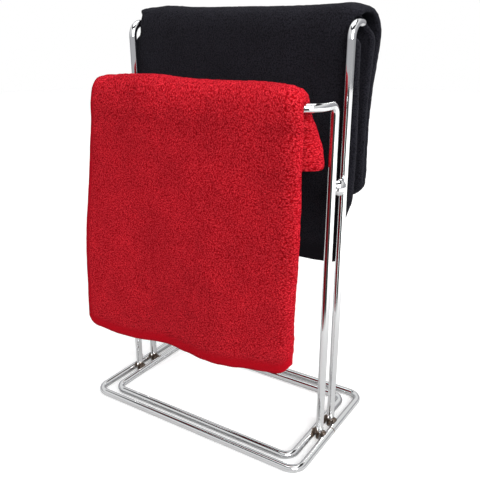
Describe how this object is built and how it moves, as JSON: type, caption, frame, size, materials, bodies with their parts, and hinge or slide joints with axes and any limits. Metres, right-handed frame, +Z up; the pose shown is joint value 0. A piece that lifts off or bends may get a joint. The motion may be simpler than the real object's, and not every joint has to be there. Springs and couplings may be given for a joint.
{
  "type": "freestanding towel stand",
  "caption": "Freestanding counter-top towel stand bent from round wire: nested base rings, a lower front hoop and a taller rear hoop, with a hand towel folded over each bar.",
  "frame": {"origin": "middle of the base, on the surface that the stand stands on", "axes": "+X along the towel bars to the viewer's right when the lower bar is in front, +Y from the lower front bar to the higher rear bar, +Z up"},
  "size_m": [0.21, 0.1237, 0.3237],
  "materials": {
    "chrome_wire": "polished, bright chrome plate",
    "weld_scorch": "dull, heat-browned weld",
    "red_terry": "looped terry cotton",
    "black_terry": "looped terry cotton"
  },
  "bodies": {
    "stand": {"outer_base_ring": "chrome_wire", "inner_base_ring": "chrome_wire", "front_hoop": "chrome_wire", "rear_hoop": "chrome_wire", "right_ball": "chrome_wire", "left_ball": "chrome_wire", "foot_welds": "weld_scorch"},
    "front_towel_body": {"front_towel": "red_terry"},
    "rear_towel_body": {"rear_towel": "black_terry"}
  },
  "joints": [
    {"name": "front_towel_lift", "type": "slide", "parent": "stand", "child": "front_towel_body", "axis": [0, 0, 1], "range_m": [0, 0.22]},
    {"name": "rear_towel_lift", "type": "slide", "parent": "stand", "child": "rear_towel_body", "axis": [0, 0, 1], "range_m": [0, 0.2]}
  ]
}
